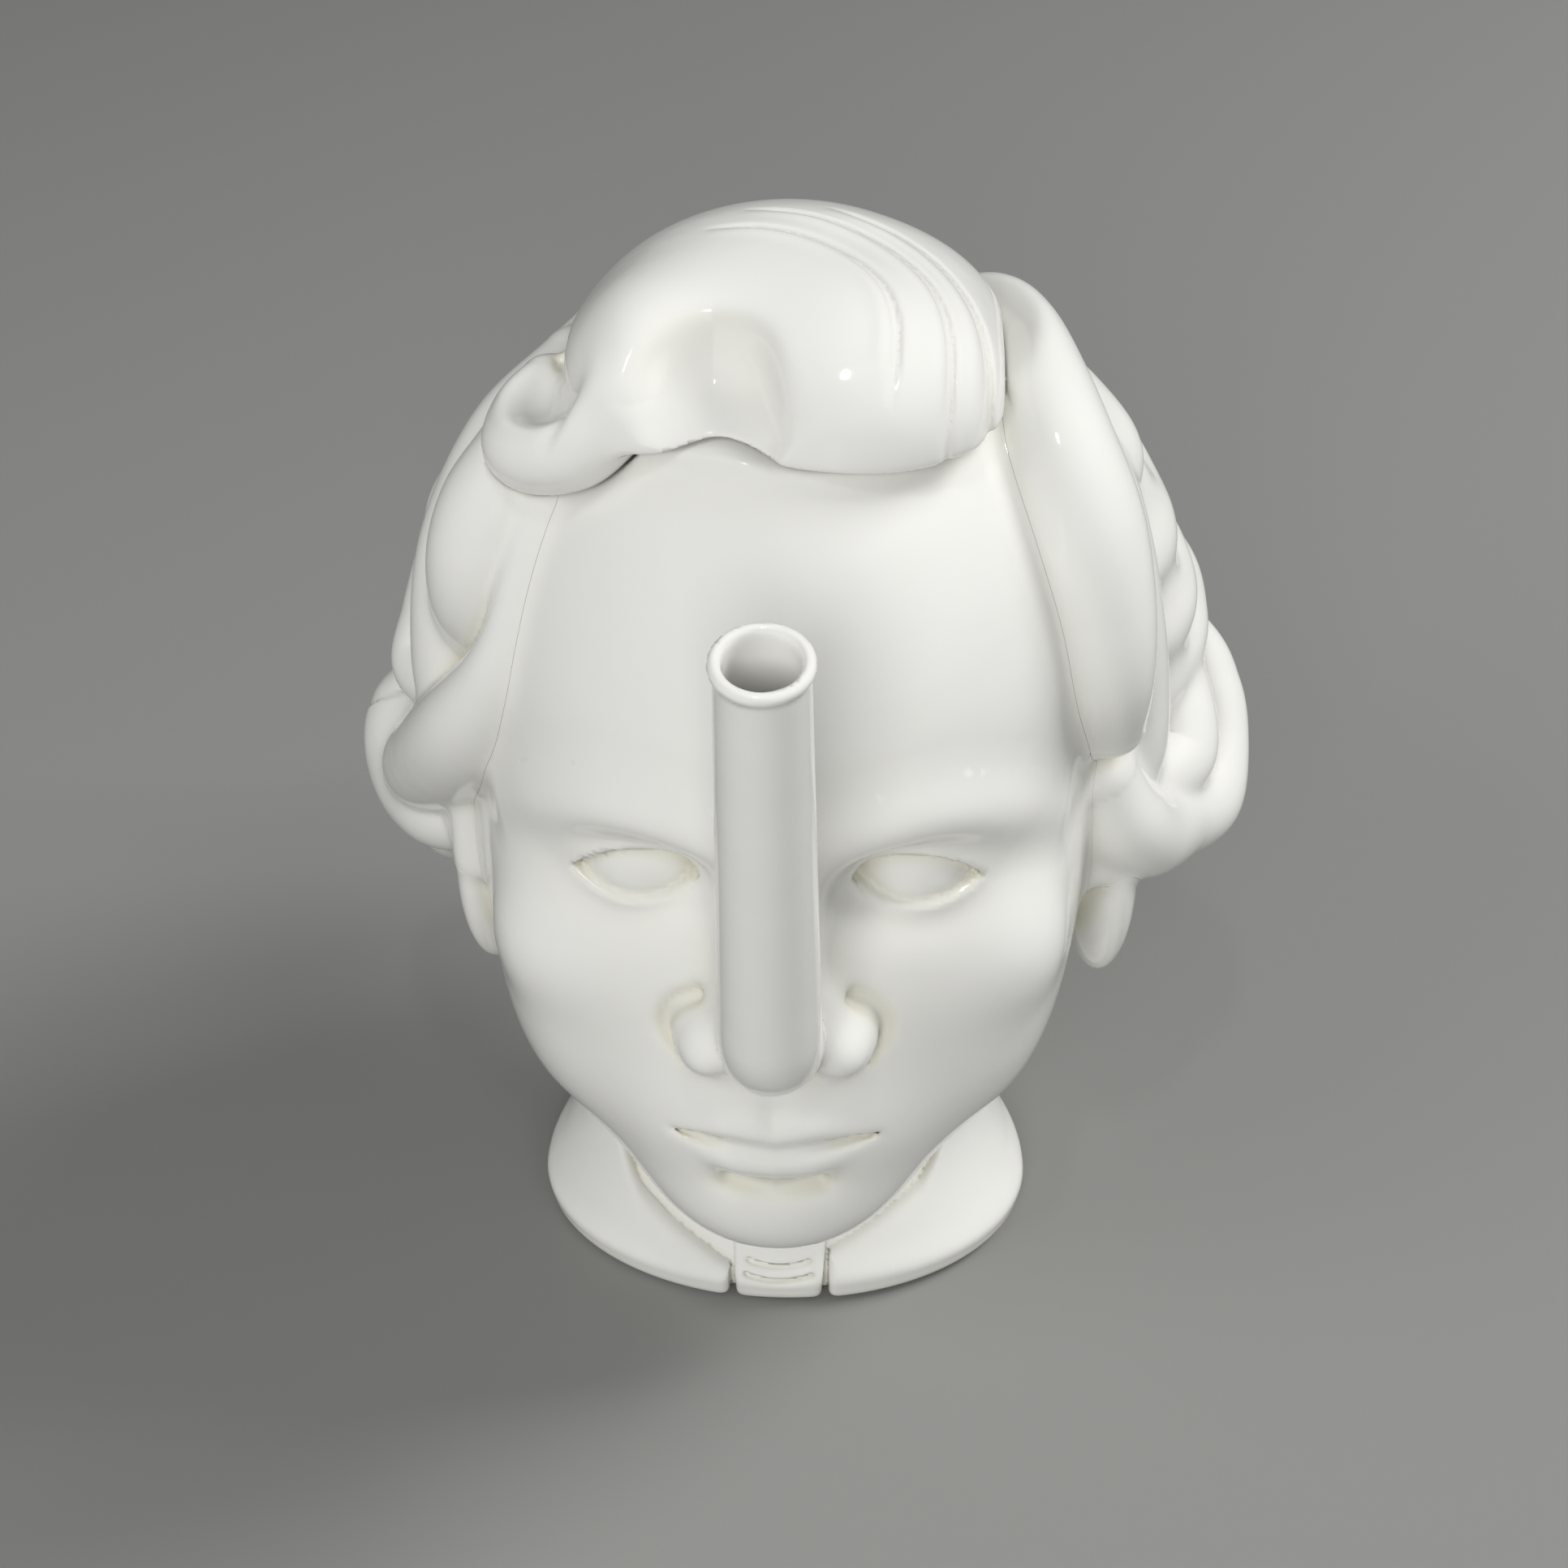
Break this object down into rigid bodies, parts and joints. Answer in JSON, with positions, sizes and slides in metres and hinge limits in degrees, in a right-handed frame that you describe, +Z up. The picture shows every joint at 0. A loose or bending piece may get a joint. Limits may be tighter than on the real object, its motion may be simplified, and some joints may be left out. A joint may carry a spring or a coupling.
{
  "type": "novelty teapot",
  "caption": "Glazed ceramic teapot in the form of a head, with the spout rising from the nose, a lift-off quiff of hair as the lid, a loop handle behind and a shirt collar as the foot.",
  "frame": {"origin": "middle of the unglazed foot, on the table", "axes": "+Z up, the face and the spout look along -Y, the handle is at +Y, +X is on the right as seen from the front"},
  "size_m": [0.1992, 0.2726, 0.229],
  "materials": {
    "white_glaze": "glossy clear glaze over white earthenware",
    "bare_clay": "unglazed, wiped"
  },
  "bodies": {
    "pot": {"head_shell": "white_glaze", "spout": "white_glaze", "gallery_ring": "white_glaze", "hair_right": "white_glaze", "hair_left": "white_glaze", "hair_back": "white_glaze", "ear_right": "white_glaze", "ear_left": "white_glaze", "handle": "white_glaze", "collar": "white_glaze", "tie_knot": "white_glaze", "foot": "bare_clay"},
    "lid": {"lid_shell": "white_glaze", "lid_flange": "white_glaze"}
  },
  "joints": [
    {"name": "lid_lift", "type": "slide", "parent": "pot", "child": "lid", "axis": [0, 0, 1], "range_m": [0, 0.06]}
  ]
}
